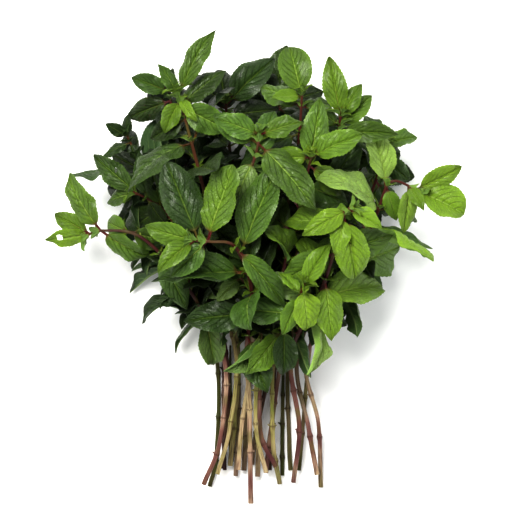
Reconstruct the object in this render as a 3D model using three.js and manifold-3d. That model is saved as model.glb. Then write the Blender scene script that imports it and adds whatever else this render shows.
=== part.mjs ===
// A bunch of fresh-cut mint lying on a table: twenty leafy stems side by side, cut ends towards -Y, tips
// towards +Y, with four bare stems among them. Each sprig is one solid, a square stem that carries leaves
// in opposite pairs, every pair a quarter turn from the last. Leaves that would meet another sprig or the
// table are bent clear of it.
// Millimetres, +Z up, the table at z = 0. The origin is under the middle of the bunch.

import * as THREE from 'three';
import Module from 'manifold-3d';

const wasm = await Module();
wasm.setup();

// Where the middle of the bunch lies in the frame that the routes below are written in
const bunchMiddle = { x: -5.58, y: 161.53 };

// Leaves
const blade = {
  thickness: 0.6,
  petioleShare: 0.12, // of the leaf's whole length
  petioleHalfWidth: 0.75,
  outlineRise: 0.62, // exponents of the outline: from the petiole to the widest place, and on to the tip
  outlineFall: 0.95, // an aim may give a smaller one, for a blunter leaf
  largeLength: 46, // longer leaves get one more row of points
  largeRows: [0.2, 0.5, 0.8], // shares of the blade's length
  rows: [0.28, 0.68],
  smallLength: 17, // shorter ones are folded diamonds
  smallRows: [0.4],
  widthShare: 0.5,
  leastFill: 0.3, // of the box around a blade; one squashed further than this isn't grown
};
const clearance = 0.32; // kept between one sprig and the next
const near = { share: 0.16, smallShare: 0.3 }; // of a leaf's length, where it may touch others of its sprig
const table = { lift: blade.thickness / 2, touch: 0.1, deepest: 14, leastLevel: 0.6 };

// Stems
const stem = {
  flatShare: 0.86, // half the side of the square section, as a share of the radius
  tipShare: 0.42, // the tip's radius, as a share of the cut end's
  taper: 0.6, // exponent of the radius between them
  swelling: 1.28, // at a bare node
  swellingHalfLength: 1.7,
  ringSpacing: 24,
  linePoints: 240, // along the centre line
};

// Pairs of leaves: distances along the stem, from its tip down
const pairs = {
  firstGap: 17, // from the last leaf that a sprig's own list places
  gapGrowth: 1.12,
  longestGap: 32,
  openAtTip: 48, // degrees between a leaf and its stem
  openAtBase: 112,
  openOver: 190, // the distance over which it opens
  unevenness: 24, // degrees that a leaf may stray, both sides together
  facing: { along: 0.6, outside: 0.8, up: 0.25 }, // shares of the way a leaf's upper side looks
  tipLength: 16,
  grownLength: 56,
  grownFrom: 30,
  growing: 0.7, // exponent of the length up to there
  shorterFrom: 60,
  shortening: 0.0012, // of the length, a millimetre further down
  leastSize: 0.86, // of that length
  sizeRange: 0.28,
  widthRange: 0.1,
  middleHeight: 45, // of the bunch, which the leaves face away from
};

// How leaves are curled, in radians: aimed ones less than the rest
const aimedHabit = { roll: 0.9, leastBend: 0.15, bend: 0.6, twist: 0.6, leastFold: 0.1, fold: 0.5 };
const tipward = 0.3; // how far an aimed leaf's upper side looks towards the sprig's tip
const pairedHabit = { roll: 1.5, leastBend: 0.2, bend: 0.9, twist: 1.0, leastFold: 0.12, fold: 0.75 };

// Tries at a leaf: each swings further from the first, and the last are shorter
const tries = { most: 16, aimedSwing: 3.2, pairedSwing: 4.5, turn: 2.4, shorterAfter: 8, shorter: 0.79 };
const chance = { firstSeed: 101, seedStep: 37, drawsPerLeaf: 8 };

// The sprigs and bare stems. A route runs from the cut end to the tip. An aim places one leaf by hand: its
// distance from the tip, the heading and rise that it points in, in degrees, its length, its width as a
// share of that, and for a blunt leaf its outlineFall.
const sprigs = [
  {
    name: 'sprig_far_left',
    radius: 1.9, roll: 20, leafyAbove: 150,
    route: [
      [-42, 7, 14], [-30, 40, 21], [-27, 98, 25], [-53, 151, 50], [-84, 185, 62], [-111, 190, 60],
      [-125, 186, 54],
    ],
    aims: [
      [5, 190, 10, 32, 0.42], [5, 150, -10, 32, 0.45], [14, 130, 18, 48, 0.42], [14, -38, 2, 42, 0.42],
      [34, -15, -16, 36, 0.5], [34, 160, -30, 30, 0.5], [62, -65, 0, 44, 0.42], [92, 60, 0, 40, 0.5],
      [118, -78, -10, 44, 0.5],
    ],
  },
  {
    name: 'sprig_front_left',
    radius: 2.1, roll: 0, leafyAbove: 112,
    route: [
      [-8, -7, 10], [-9, 67, 27], [-11, 104, 31], [-7, 147, 72], [-18, 178, 98], [-35, 182, 104],
      [-49, 183, 104],
    ],
    aims: [
      [3, 168, 22, 36, 0.45], [3, 215, 25, 34, 0.5], [6, 112, 8, 58, 0.46, 0.68],
      [12, 75, 14, 55, 0.52, 0.65], [40, 68, 8, 64, 0.46, 0.68], [34, -46, -2, 58, 0.32],
      [12, -135, 15, 36, 0.5],
    ],
  },
  {
    name: 'sprig_front_right',
    radius: 2, roll: 45, leafyAbove: 130,
    route: [
      [23, 8, 8], [27, 49, 22], [21, 101, 29], [41, 149, 80], [52, 186, 100], [56, 201, 105],
      [62, 206, 106],
    ],
    aims: [
      [4, -28, 10, 26, 0.6], [4, 208, 28, 38, 0.4], [10, -76, 5, 47, 0.55, 0.75], [10, -102, 22, 28, 0.5],
      [16, 168, -14, 44, 0.5], [16, 80, 30, 20, 0.5], [38, 20, 0, 44, 0.5], [38, -150, 0, 44, 0.5],
      [60, -80, 12, 42, 0.5], [60, 120, -10, 40, 0.5],
    ],
  },
  {
    name: 'sprig_low_right',
    radius: 1.9, roll: 80, leafyAbove: 125,
    route: [[13, 7, 8], [8, 40, 22], [9, 104, 35], [21, 134, 84], [29, 154, 102]],
    aims: [
      [4, 62, 18, 36, 0.45], [4, -80, 0, 33, 0.62], [11, -108, 20, 30, 0.5], [11, 150, -20, 30, 0.5],
      [31, 165, -12, 40, 0.5], [31, 10, -10, 36, 0.5], [54, -88, 0, 38, 0.5], [62, -127, 20, 40, 0.5],
    ],
  },
  {
    name: 'sprig_upper_right',
    radius: 1.9, roll: 30, leafyAbove: 112,
    route: [[10, 21, 25], [-1, 47, 26], [1, 102, 24], [15, 162, 60], [27, 211, 79], [34, 242, 94]],
    aims: [
      [3, 31, 22, 40, 0.5], [3, 178, 0, 30, 0.5], [9, 79, 8, 47, 0.42], [9, -35, -22, 36, 0.5],
      [24, 110, -10, 34, 0.5], [24, -20, -14, 40, 0.5],
    ],
  },
  {
    name: 'sprig_far_right',
    radius: 1.8, roll: 60, leafyAbove: 150,
    route: [
      [43, 4, 5], [41, 51, 13], [32, 99, 21], [59, 148, 46], [80, 201, 60], [90, 224, 66], [111, 217, 62],
    ],
    aims: [
      [4, 26, 12, 36, 0.42, 0.8], [4, -24, 12, 38, 0.76, 0.55], [10, -92, 14, 34, 0.42],
      [10, -48, 35, 24, 0.4], [28, 97, 15, 42, 0.5, 0.6], [28, -72, 0, 26, 0.5],
    ],
  },
  {
    name: 'sprig_top_left',
    radius: 2, roll: 10, leafyAbove: 112,
    route: [[-23, 20, 8], [-19, 59, 13], [-17, 103, 17], [-27, 162, 44], [-44, 232, 66], [-59, 288, 76]],
    aims: [
      [4, 66, 12, 53, 0.32], [4, 120, 30, 26, 0.4], [12, 44, 4, 40, 0.5], [12, -32, 18, 36, 0.56, 0.7],
      [8, -118, 4, 26, 0.6], [5, -66, 25, 24, 0.32], [22, 100, -20, 34, 0.4], [22, 210, 10, 30, 0.5],
    ],
  },
  {
    name: 'sprig_top_middle',
    radius: 2, roll: 55, leafyAbove: 112,
    route: [[-3, 12, 6], [-2, 51, 12], [0, 103, 13], [10, 169, 44], [24, 239, 62], [28, 287, 72]],
    aims: [
      [4, 104, 8, 38, 0.62, 0.7], [4, 178, 25, 22, 0.5], [12, 140, -20, 40, 0.5], [12, 14, -28, 28, 0.5],
      [30, 20, 0, 40, 0.5], [30, 200, 10, 48, 0.5],
    ],
  },
  {
    name: 'sprig_top_right',
    radius: 1.9, roll: 25, leafyAbove: 112,
    route: [[3, 15, 9], [7, 49, 15], [15, 101, 14], [31, 169, 42], [48, 232, 62], [55, 272, 75]],
    aims: [
      [4, 101, 12, 44, 0.38], [4, 60, 12, 28, 0.5], [10, 46, 0, 33, 0.55], [10, 150, -20, 34, 0.5],
      [14, 4, 12, 42, 0.38], [20, 200, 5, 40, 0.5],
    ],
  },
  {
    name: 'sprig_left_shoulder',
    radius: 1.8, roll: 75, leafyAbove: 125,
    route: [[-29, 18, 7], [-25, 52, 12], [-26, 103, 12], [-41, 168, 30], [-57, 248, 40], [-66, 292, 48]],
    aims: [
      [4, 86, 10, 18, 0.4], [4, 158, 10, 30, 0.5], [10, 200, -4, 38, 0.45], [10, 252, 16, 26, 0.6],
      [28, -92, 10, 32, 0.6, 0.6], [28, 130, -15, 38, 0.5],
    ],
  },
  {
    name: 'sprig_left_tuft',
    radius: 1.7, roll: 40, leafyAbove: 125,
    route: [[-38, 4, 1], [-33, 29, 1], [-33, 99, 5], [-52, 162, 20], [-80, 225, 32], [-97, 260, 40]],
    aims: [
      [3, 150, 20, 18, 0.5], [3, 95, 20, 16, 0.5], [8, 200, 5, 24, 0.4], [8, -70, 15, 14, 0.5],
      [20, 120, -15, 28, 0.5], [20, -60, 10, 34, 0.5],
    ],
  },
  {
    name: 'sprig_left_middle',
    radius: 1.8, roll: 15, leafyAbove: 140,
    route: [[-32, 15, 17], [-23, 49, 24], [-19, 105, 25], [-41, 161, 40], [-68, 203, 52], [-91, 218, 58]],
    aims: [
      [4, 140, 0, 44, 0.36], [4, 185, -10, 26, 0.6], [12, 100, 22, 34, 0.4], [12, -60, 0, 26, 0.5],
      [24, 112, 22, 40, 0.4], [24, 215, -10, 32, 0.55],
    ],
  },
  {
    name: 'sprig_right_shoulder',
    radius: 1.9, roll: 65, leafyAbove: 150,
    route: [[40, 14, 13], [34, 47, 16], [26, 100, 7], [52, 162, 26], [80, 223, 40], [86, 254, 50]],
    aims: [
      [4, 20, -10, 30, 0.5], [4, 110, -10, 30, 0.5], [12, 178, 15, 44, 0.45], [12, -40, -20, 30, 0.5],
      [30, 60, -10, 36, 0.5], [30, -60, -15, 36, 0.5],
    ],
  },
  {
    name: 'sprig_low_far_right',
    radius: 1.8, roll: 35, leafyAbove: 130,
    route: [[27, 16, 4], [30, 49, 5], [34, 97, 12], [39, 128, 26], [51, 151, 42]],
    aims: [[4, 30, 0, 34, 0.5], [4, -66, 10, 30, 0.5], [12, -100, -10, 36, 0.5], [12, 80, 20, 34, 0.5]],
  },
  {
    name: 'sprig_top_back',
    radius: 2, roll: 50, leafyAbove: 112,
    route: [[-13, 16, 4], [-11, 55, 5], [-9, 102, 6], [-16, 177, 18], [-23, 248, 26], [-26, 284, 34]],
    aims: [[4, 47, 6, 50, 0.5], [4, 140, -5, 36, 0.5], [12, 100, 0, 44, 0.5], [12, 10, 0, 40, 0.5]],
  },
  {
    name: 'sprig_middle_top',
    radius: 1.9, roll: 5, leafyAbove: 112,
    route: [
      [-17, 18, 16], [-14, 54, 22], [-7, 103, 24], [-7, 162, 62], [-10, 217, 86], [-4, 243, 93],
      [-1, 258, 95],
    ],
    aims: [
      [3, 20, 25, 32, 0.5], [3, 160, 25, 34, 0.5], [9, -36, 7, 62, 0.42], [9, 150, 10, 38, 0.5],
      [20, 70, -12, 40, 0.5], [20, -120, 10, 40, 0.5],
    ],
  },
  {
    name: 'sprig_back_middle',
    radius: 1.8, roll: 70, leafyAbove: 112,
    route: [[-7, 20, 1], [-5, 38, 1], [7, 102, 4], [10, 177, 8], [10, 249, 9], [7, 288, 12]],
    aims: [[4, 76, -6, 46, 0.5], [4, 150, -8, 38, 0.5], [12, 110, 5, 40, 0.5], [12, 30, -6, 44, 0.5]],
  },
  {
    name: 'sprig_back_left',
    radius: 1.8, roll: 33, leafyAbove: 130,
    route: [[-19, 12, 5], [-17, 53, 5], [-19, 102, 6], [-39, 168, 9], [-68, 209, 9], [-84, 236, 12]],
    aims: [[5, 150, -5, 34, 0.5], [5, 70, -5, 38, 0.5], [22, 215, -9, 44, 0.5], [22, 60, 5, 36, 0.5]],
  },
  {
    name: 'sprig_back_right',
    radius: 1.8, roll: 12, leafyAbove: 140,
    route: [[21, 16, 1], [20, 38, 1], [20, 102, 5], [36, 168, 9], [61, 213, 9], [75, 243, 12]],
    aims: [[5, 60, -5, 38, 0.5], [5, -10, -6, 44, 0.5], [24, -60, -9, 44, 0.5], [24, 120, 5, 36, 0.5]],
  },
  {
    name: 'sprig_low_front',
    radius: 1.8, roll: 90, leafyAbove: 112,
    route: [[3, 17, 22], [-4, 48, 35], [-4, 84, 40], [-3, 104, 42], [0, 133, 48], [-17, 160, 64]],
    aims: [
      [4, 110, 22, 20, 0.5], [4, -140, 22, 24, 0.5], [12, 190, 0, 30, 0.5], [36, 198, 26, 40, 0.58, 0.7],
      [36, -100, 5, 36, 0.6, 0.7],
    ],
  },
  {
    name: 'bare_stem_left',
    radius: 1.6, roll: 0, leafyAbove: Infinity, aims: [],
    route: [[-27, 16, 2], [-28, 45, 2], [-28, 107, 2]],
  },
  {
    name: 'bare_stem_left_middle',
    radius: 1.7, roll: 0, leafyAbove: Infinity, aims: [],
    route: [[-22, 22, 2], [-23, 45, 2], [-23, 107, 2]],
  },
  {
    name: 'bare_stem_right_middle',
    radius: 1.6, roll: 0, leafyAbove: Infinity, aims: [],
    route: [[6, 16, 2], [7, 45, 2], [11, 107, 2]],
  },
  {
    name: 'bare_stem_right',
    radius: 1.7, roll: 0, leafyAbove: Infinity, aims: [],
    route: [[15, 12, 2], [15, 45, 2], [16, 107, 2]],
  },
];

// A repeatable stream of numbers from 0 to 1
function randomFrom(seed) {
  let state = seed;
  return () => {
    state = (1664525 * state + 1013904223) % 4294967296;
    return state / 4294967296;
  };
}

const up = new THREE.Vector3(0, 0, 1);
const radians = THREE.MathUtils.degToRad;

// The stem's centre line: points every millimetre or two, each with its distance from the tip
function centreLine(route) {
  const corners = route.map(([x, y, z]) => new THREE.Vector3(x - bunchMiddle.x, y - bunchMiddle.y, z));
  const curve = new THREE.CatmullRomCurve3(corners, false, 'catmullrom', 0.5);
  const points = curve.getPoints(stem.linePoints).reverse();
  let walked = 0;
  return points.map((point, i) => {
    if (i) walked += point.distanceTo(points[i - 1]);
    return { point, walked };
  });
}

// The place on a centre line at a distance from the tip, with the direction that points to the tip
function placeAt(line, distance) {
  let i = 1;
  while (i < line.length - 1 && line[i].walked < distance) i += 1;
  const [near, far] = [line[i - 1], line[i]];
  const share = (distance - near.walked) / (far.walked - near.walked);
  return {
    point: near.point.clone().lerp(far.point, share),
    along: near.point.clone().sub(far.point).normalize(),
  };
}

// Two directions across a stem: the first lies level, the second rises from it
function across(along) {
  const level = new THREE.Vector3().crossVectors(up, along).normalize();
  return { level, rising: new THREE.Vector3().crossVectors(along, level) };
}

// A closed solid from rows of points on two faces, joined alike, with a rim between them
function solidFromRows(topRows, bottomRows) {
  const vertices = [...topRows.flat(), ...bottomRows.flat()];
  const half = vertices.length / 2;
  const starts = [];
  topRows.reduce((sum, row) => {
    starts.push(sum);
    return sum + row.length;
  }, 0);
  const faces = [];
  for (let r = 0; r + 1 < topRows.length; r += 1) {
    const [a, b] = [topRows[r].length - 1, topRows[r + 1].length - 1];
    let [i, j] = [0, 0];
    while (i < a || j < b) {
      const lower = starts[r] + i;
      const upper = starts[r + 1] + j;
      if (j === b || (i < a && (i + 1) / a <= (j + 1) / b)) {
        faces.push([lower, lower + 1, upper]);
        i += 1;
      } else {
        faces.push([lower, upper + 1, upper]);
        j += 1;
      }
    }
  }
  const rightSide = topRows.map((row, r) => starts[r] + row.length - 1);
  const leftSide = topRows.map((row, r) => starts[r]).reverse();
  const rim = [...rightSide, ...leftSide].filter((v, i, all) => v !== all[(i + 1) % all.length]);
  const triangles = faces.flatMap(([p, q, r]) => [p, q, r, p + half, r + half, q + half]);
  rim.forEach((p, i) => {
    const q = rim[(i + 1) % rim.length];
    triangles.push(p, p + half, q + half, p, q + half, q);
  });
  return solidFrom(vertices, triangles);
}

function solidFrom(vertices, triangles) {
  const vertProperties = new Float32Array(vertices.flatMap((v) => [v.x, v.y, v.z]));
  const triVerts = new Uint32Array(triangles);
  return new wasm.Manifold(new wasm.Mesh({ numProp: 3, vertProperties, triVerts }));
}

// Half the leaf's width at a share of its length
function halfWidth(leaf, share) {
  if (share <= blade.petioleShare) return blade.petioleHalfWidth;
  const along = (share - blade.petioleShare) / (1 - blade.petioleShare);
  const widest = blade.outlineRise / (blade.outlineRise + leaf.fall);
  const outline = (u) => u ** blade.outlineRise * (1 - u) ** leaf.fall;
  return (0.5 * leaf.width * outline(along)) / outline(widest);
}

// A point of the leaf, side from -1 to 1 across it, and the direction its upper face looks in there
function leafPoint(leaf, share, side, grown = 0) {
  const bent = leaf.bend * share;
  const forward = Math.sin(bent) / leaf.bend;
  const back = (1 - Math.cos(bent)) / leaf.bend;
  const straight = leaf.along.clone().multiplyScalar(Math.sin(bent));
  straight.addScaledVector(leaf.normal, Math.cos(bent));
  const turn = leaf.twist * share;
  const sideways = new THREE.Vector3().crossVectors(leaf.along, leaf.normal);
  const normal = straight.clone().multiplyScalar(Math.cos(turn)).addScaledVector(sideways, -Math.sin(turn));
  sideways.multiplyScalar(Math.cos(turn)).addScaledVector(straight, Math.sin(turn));
  const reach = (halfWidth(leaf, share) + grown) * side;
  const point = leaf.root.clone().addScaledVector(leaf.along, leaf.length * forward);
  point.addScaledVector(leaf.normal, -leaf.length * back);
  point.addScaledVector(sideways, reach * Math.cos(leaf.fold));
  point.addScaledVector(normal, Math.abs(reach) * Math.sin(leaf.fold));
  return { point, normal };
}

// A leaf near the table lies flat on it
function settle({ point, normal }) {
  if (point.z >= 2 * table.lift) return { point, normal };
  return { point: point.clone().setZ(table.lift), normal: up };
}

// Rows of the blade, petiole first: the share of the length, and the sides of its points
function bladeRows(leaf, from) {
  const inBlade = (share) => blade.petioleShare + (1 - blade.petioleShare) * share;
  const wide = [-1, 0, 1];
  const widths = (shares) => shares.map((share) => [inBlade(share), wide]);
  if (leaf.length < blade.smallLength) return [[from, [0]], ...widths(blade.smallRows), [1, [0]]];
  const start = from > 0 ? [[from, [-1, 1]]] : [[0, [0]], [blade.petioleShare, [-1, 1]]];
  return [...start, ...widths(leaf.length > blade.largeLength ? blade.largeRows : blade.rows), [1, [0]]];
}

function leafSolid(leaf, from = 0, spare = 0) {
  const offset = blade.thickness / 2 + spare;
  const [top, bottom] = [[], []];
  for (const [share, sides] of bladeRows(leaf, from)) {
    const places = sides.map((side) => settle(leafPoint(leaf, share, side, spare)));
    top.push(places.map(({ point, normal }) => point.clone().addScaledVector(normal, offset)));
    bottom.push(places.map(({ point, normal }) => point.clone().addScaledVector(normal, -offset)));
  }
  return solidFromRows(top, bottom);
}

// Whether the table leaves room for a leaf, which may lie on it but not stand in it
function clearsTable(leaf) {
  return bladeRows(leaf, 0).every(([share, sides]) => sides.every((side) => {
    const { point, normal } = leafPoint(leaf, share, side);
    return point.z >= 2 * table.lift || (point.z > -table.deepest && Math.abs(normal.z) > table.leastLevel);
  }));
}

// Where the stem's section is set: at every leaf, round each bare node, and between distant ones
function stemRings(sprig) {
  const aimed = sprig.aims.map(([distance]) => distance);
  const leafNodes = new Set([0, ...aimed, ...sprig.leafyNodes, sprig.length]);
  const rings = [...leafNodes].map((distance) => ({ distance, swell: 1 }));
  for (const distance of sprig.bareNodes) {
    rings.push({ distance: distance - stem.swellingHalfLength, swell: 1 });
    rings.push({ distance, swell: stem.swelling });
    rings.push({ distance: distance + stem.swellingHalfLength, swell: 1 });
  }
  rings.sort((a, b) => a.distance - b.distance);
  return rings.flatMap((ring, i) => {
    const gap = i ? ring.distance - rings[i - 1].distance : 0;
    const between = Math.max(0, Math.ceil(gap / stem.ringSpacing) - 1);
    const filling = Array.from({ length: between }, (_, k) => (gap * (between - k)) / (between + 1));
    return [...filling.map((back) => ({ distance: ring.distance - back, swell: 1 })), ring];
  });
}

// The stem as a square rod, with a swelling at each bare node
function stemSolid(sprig) {
  const rings = stemRings(sprig);
  const vertices = [];
  for (const { distance, swell } of rings) {
    const { point, along } = placeAt(sprig.line, distance);
    const { level, rising } = across(along);
    const half = stemRadius(sprig, distance) * stem.flatShare * swell;
    point.z = Math.max(point.z, half);
    for (const [a, b] of [[1, -1], [1, 1], [-1, 1], [-1, -1]]) {
      const corner = point.clone().addScaledVector(level, a * half).addScaledVector(rising, b * half);
      vertices.push(corner.z < table.touch ? corner.setZ(0) : corner);
    }
  }
  const triangles = [0, 1, 2, 0, 2, 3];
  for (let ring = 0; ring + 1 < rings.length; ring += 1) {
    for (let k = 0; k < 4; k += 1) {
      const [a, b] = [4 * ring + k, 4 * ring + ((k + 1) % 4)];
      triangles.push(a, b + 4, b, a, a + 4, b + 4);
    }
  }
  const last = 4 * (rings.length - 1);
  triangles.push(last, last + 2, last + 1, last, last + 3, last + 2);
  return solidFrom(vertices, triangles);
}

function stemRadius(sprig, distance) {
  return sprig.radius * (stem.tipShare + (1 - stem.tipShare) * (distance / sprig.length) ** stem.taper);
}

// The nodes below the hand-placed leaves, down to the cut end
function nodeDistances(sprig) {
  const distances = [];
  let gap = pairs.firstGap;
  let distance = Math.max(0, ...sprig.aims.map(([aim]) => aim)) + gap;
  while (distance < sprig.length - gap / 2) {
    distances.push(distance);
    gap = Math.min(gap * pairs.gapGrowth, pairs.longestGap);
    distance += gap;
  }
  return distances;
}

// The leaf's length at a distance from the tip
function usualLength(distance) {
  const grown = Math.min(1, distance / pairs.grownFrom) ** pairs.growing;
  const shorter = pairs.shortening * Math.max(0, distance - pairs.shorterFrom);
  return (pairs.tipLength + (pairs.grownLength - pairs.tipLength) * grown) * (1 - shorter);
}

// A direction made square to another
function squareTo(direction, along) {
  return direction.addScaledVector(along, -direction.dot(along)).normalize();
}

// How far a try is swung from the leaf's first place: round, up, and how much shorter it is
function swungBy(attempt, swing) {
  const size = attempt * swing;
  return {
    round: size * Math.sin(attempt * tries.turn),
    lift: size * Math.cos(attempt * tries.turn),
    scale: attempt > tries.shorterAfter ? tries.shorter : 1,
  };
}

// How a leaf is bent back along its length, twisted, and folded along its midrib
function curl(draw, habit) {
  return {
    bend: habit.leastBend + habit.bend * draw[1],
    twist: (draw[2] - 0.5) * habit.twist,
    fold: habit.leastFold + habit.fold * draw[7] ** 2,
  };
}

// One try at an aimed leaf
function aimedLeaf(sprig, aim, draw, attempt) {
  const [distance, heading, rise, length, widthShare, fall = blade.outlineFall] = aim;
  const { point, along } = placeAt(sprig.line, distance);
  const swung = swungBy(attempt, tries.aimedSwing);
  const turn = radians(heading + swung.round);
  const lift = radians(rise + swung.lift);
  const level = Math.cos(lift);
  const direction = new THREE.Vector3(level * Math.cos(turn), level * Math.sin(turn), Math.sin(lift));
  const normal = squareTo(up.clone().addScaledVector(along, tipward), direction);
  normal.applyAxisAngle(direction, (draw[0] - 0.5) * aimedHabit.roll);
  const size = { length: length * swung.scale, width: length * swung.scale * widthShare, fall };
  return { root: point, along: direction, normal, ...size, ...curl(draw, aimedHabit) };
}

// One try at a leaf of an opposite pair
function pairedLeaf(sprig, distance, quarter, draw, attempt) {
  const { point, along } = placeAt(sprig.line, distance);
  const { level, rising } = across(along);
  const swung = swungBy(attempt, tries.pairedSwing);
  const round = radians(sprig.roll + 90 * quarter + pairs.unevenness * (draw[3] - 0.5) + swung.round);
  const opened = Math.min(1, distance / pairs.openOver);
  const opening = pairs.openAtTip + (pairs.openAtBase - pairs.openAtTip) * opened;
  const open = radians(opening + pairs.unevenness * (draw[4] - 0.5) + swung.lift);
  const outward = level.multiplyScalar(Math.cos(round)).addScaledVector(rising, Math.sin(round));
  const direction = along.clone().multiplyScalar(Math.cos(open)).addScaledVector(outward, Math.sin(open));
  const outside = new THREE.Vector3(point.x, 0, point.z - pairs.middleHeight).normalize();
  const facing = along.clone().multiplyScalar(pairs.facing.along);
  facing.addScaledVector(outside, pairs.facing.outside).addScaledVector(up, pairs.facing.up);
  const normal = squareTo(facing, direction).applyAxisAngle(direction, (draw[0] - 0.5) * pairedHabit.roll);
  const length = usualLength(distance) * (pairs.leastSize + pairs.sizeRange * draw[5]) * swung.scale;
  const width = length * (blade.widthShare + pairs.widthRange * (draw[6] - 0.5));
  const size = { length, width, fall: blade.outlineFall };
  return { root: point, along: direction, normal, ...size, ...curl(draw, pairedHabit) };
}

// Solids already placed, each with its sprig, its node along the stem and its box
const placed = [];

function boxOf(solid) {
  const { min, max } = solid.boundingBox();
  return new THREE.Box3(new THREE.Vector3(...min), new THREE.Vector3(...max));
}

function place(solid, sprig, node) {
  placed.push({ solid, sprig, node, box: boxOf(solid) });
}

// Whether a leaf, thickened by the clearance, meets nothing but what it grows from. Near its root it may
// touch other leaves of its own sprig.
function isClear(leaf, sprig, node) {
  const whole = leafSolid(leaf, 0, clearance);
  const outer = leafSolid(leaf, leaf.length < blade.smallLength ? near.smallShare : near.share, clearance);
  const box = boxOf(whole);
  const meets = placed.some((other) => {
    if (other.sprig === sprig && (other.node === node || other.node === 'stem')) return false;
    if (!box.intersectsBox(other.box)) return false;
    const common = (other.sprig === sprig ? outer : whole).intersect(other.solid);
    const empty = common.isEmpty();
    common.delete();
    return !empty;
  });
  whole.delete();
  outer.delete();
  return !meets;
}

// Places the first try at a leaf that is clear; a leaf with none has been stripped off
function grow(sprig, node, tryAt) {
  for (let attempt = 0; attempt < tries.most; attempt += 1) {
    const leaf = tryAt(attempt);
    const solid = leafSolid(leaf);
    const isSound = solid.volume() > blade.leastFill * leaf.length * leaf.width * blade.thickness;
    if (isSound && clearsTable(leaf) && isClear(leaf, sprig, node)) {
      place(solid, sprig, node);
      return;
    }
    solid.delete();
  }
}

// Stems first, then the hand-placed leaves, then the pairs below them, from the top of every sprig down
sprigs.forEach((sprig, index) => {
  const random = randomFrom(chance.firstSeed + chance.seedStep * index);
  sprig.draw = () => Array.from({ length: chance.drawsPerLeaf }, random);
  sprig.line = centreLine(sprig.route);
  sprig.length = sprig.line[sprig.line.length - 1].walked;
  const nodes = nodeDistances(sprig);
  const isLeafy = (distance) => placeAt(sprig.line, distance).point.y > sprig.leafyAbove - bunchMiddle.y;
  sprig.leafyNodes = nodes.filter(isLeafy);
  sprig.bareNodes = nodes.filter((distance) => !isLeafy(distance));
  place(stemSolid(sprig), sprig, 'stem');
});
for (const sprig of sprigs) {
  for (const aim of sprig.aims) {
    const draw = sprig.draw();
    grow(sprig, aim[0], (attempt) => aimedLeaf(sprig, aim, draw, attempt));
  }
}
for (const sprig of sprigs) {
  sprig.leafyNodes.forEach((distance, pair) => {
    for (const side of [0, 2]) {
      const draw = sprig.draw();
      grow(sprig, distance, (attempt) => pairedLeaf(sprig, distance, pair + side, draw, attempt));
    }
  });
}

// Each sprig fused into one mesh
const leafGreens = [0x4f8a2c, 0x3f7a2a, 0x5c9632, 0x487f30];
const stemTan = 0x7a6038;
const bunch = new THREE.Group();
sprigs.forEach((sprig, index) => {
  const solids = placed.filter((other) => other.sprig === sprig).map((other) => other.solid);
  const { vertProperties, triVerts } = wasm.Manifold.union(solids).getMesh();
  const geometry = new THREE.BufferGeometry();
  geometry.setAttribute('position', new THREE.BufferAttribute(vertProperties, 3));
  geometry.setIndex(new THREE.BufferAttribute(triVerts, 1));
  const color = sprig.aims.length ? leafGreens[index % leafGreens.length] : stemTan;
  const material = new THREE.MeshStandardMaterial({ color, roughness: 0.5, metalness: 0 });
  const mesh = new THREE.Mesh(geometry, material);
  mesh.name = sprig.name;
  bunch.add(mesh);
});

export default bunch;
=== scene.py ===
from math import atan2, copysign, cos, exp, inf, pi, radians, sin

import bmesh
import bpy
from mathutils import Matrix, Quaternion, Vector
from mathutils import noise as field
from mathutils.kdtree import KDTree


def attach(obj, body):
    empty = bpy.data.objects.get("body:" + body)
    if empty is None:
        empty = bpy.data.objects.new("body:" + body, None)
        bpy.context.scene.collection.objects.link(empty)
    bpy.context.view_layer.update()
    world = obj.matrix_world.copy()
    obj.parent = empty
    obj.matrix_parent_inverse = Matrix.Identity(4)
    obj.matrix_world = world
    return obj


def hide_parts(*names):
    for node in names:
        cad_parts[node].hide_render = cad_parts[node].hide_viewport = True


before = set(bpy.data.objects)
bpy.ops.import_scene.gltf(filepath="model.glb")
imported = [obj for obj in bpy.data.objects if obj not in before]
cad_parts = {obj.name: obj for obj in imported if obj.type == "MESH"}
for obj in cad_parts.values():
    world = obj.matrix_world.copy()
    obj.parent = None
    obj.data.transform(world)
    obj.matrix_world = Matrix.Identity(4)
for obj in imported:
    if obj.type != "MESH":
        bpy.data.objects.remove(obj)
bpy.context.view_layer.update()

mm = 0.001
up = Vector((0, 0, 1))

# The bunch as the frame holds it
bunchMiddle = Vector((-5.58, 161.53, 0))
growth = {
    "petioleHalfWidth": 0.75, "outlineRise": 0.62, "outlineFall": 0.95, "widthShare": 0.5,
    "halfThickness": 0.3, "firstGap": 17, "gapGrowth": 1.12, "longestGap": 32, "openAtTip": 48,
    "openAtBase": 112, "openOver": 190, "unevenness": 24, "tipLength": 16,
    "grownLength": 56, "grownFrom": 30, "growing": 0.7, "shorterFrom": 60, "shortening": 0.0012,
    "middleHeight": 45, "leastSize": 0.86, "sizeRange": 0.28, "widthRange": 0.1, "tipward": 0.3,
    "linePoints": 240, "stemTip": 0.42, "stemTaper": 0.6,
}
petiole = 0.12  # its share of a leaf's length
facing = {"along": 0.6, "outside": 0.8, "up": 0.25}  # shares of the way a paired leaf's upper side looks
aimedHabit = {"roll": 0.9, "leastBend": 0.15, "bend": 0.6, "twist": 0.6, "leastFold": 0.1, "fold": 0.5}
pairedHabit = {"roll": 1.5, "leastBend": 0.2, "bend": 0.9, "twist": 1.0, "leastFold": 0.12, "fold": 0.75}
tries = {"most": 16, "aimedSwing": 3.2, "pairedSwing": 4.5, "turn": 2.4, "shorterAfter": 8, "shorter": 0.79}
matchWithin = 0.08 * mm  # of a leaf's tip in the frame
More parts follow.
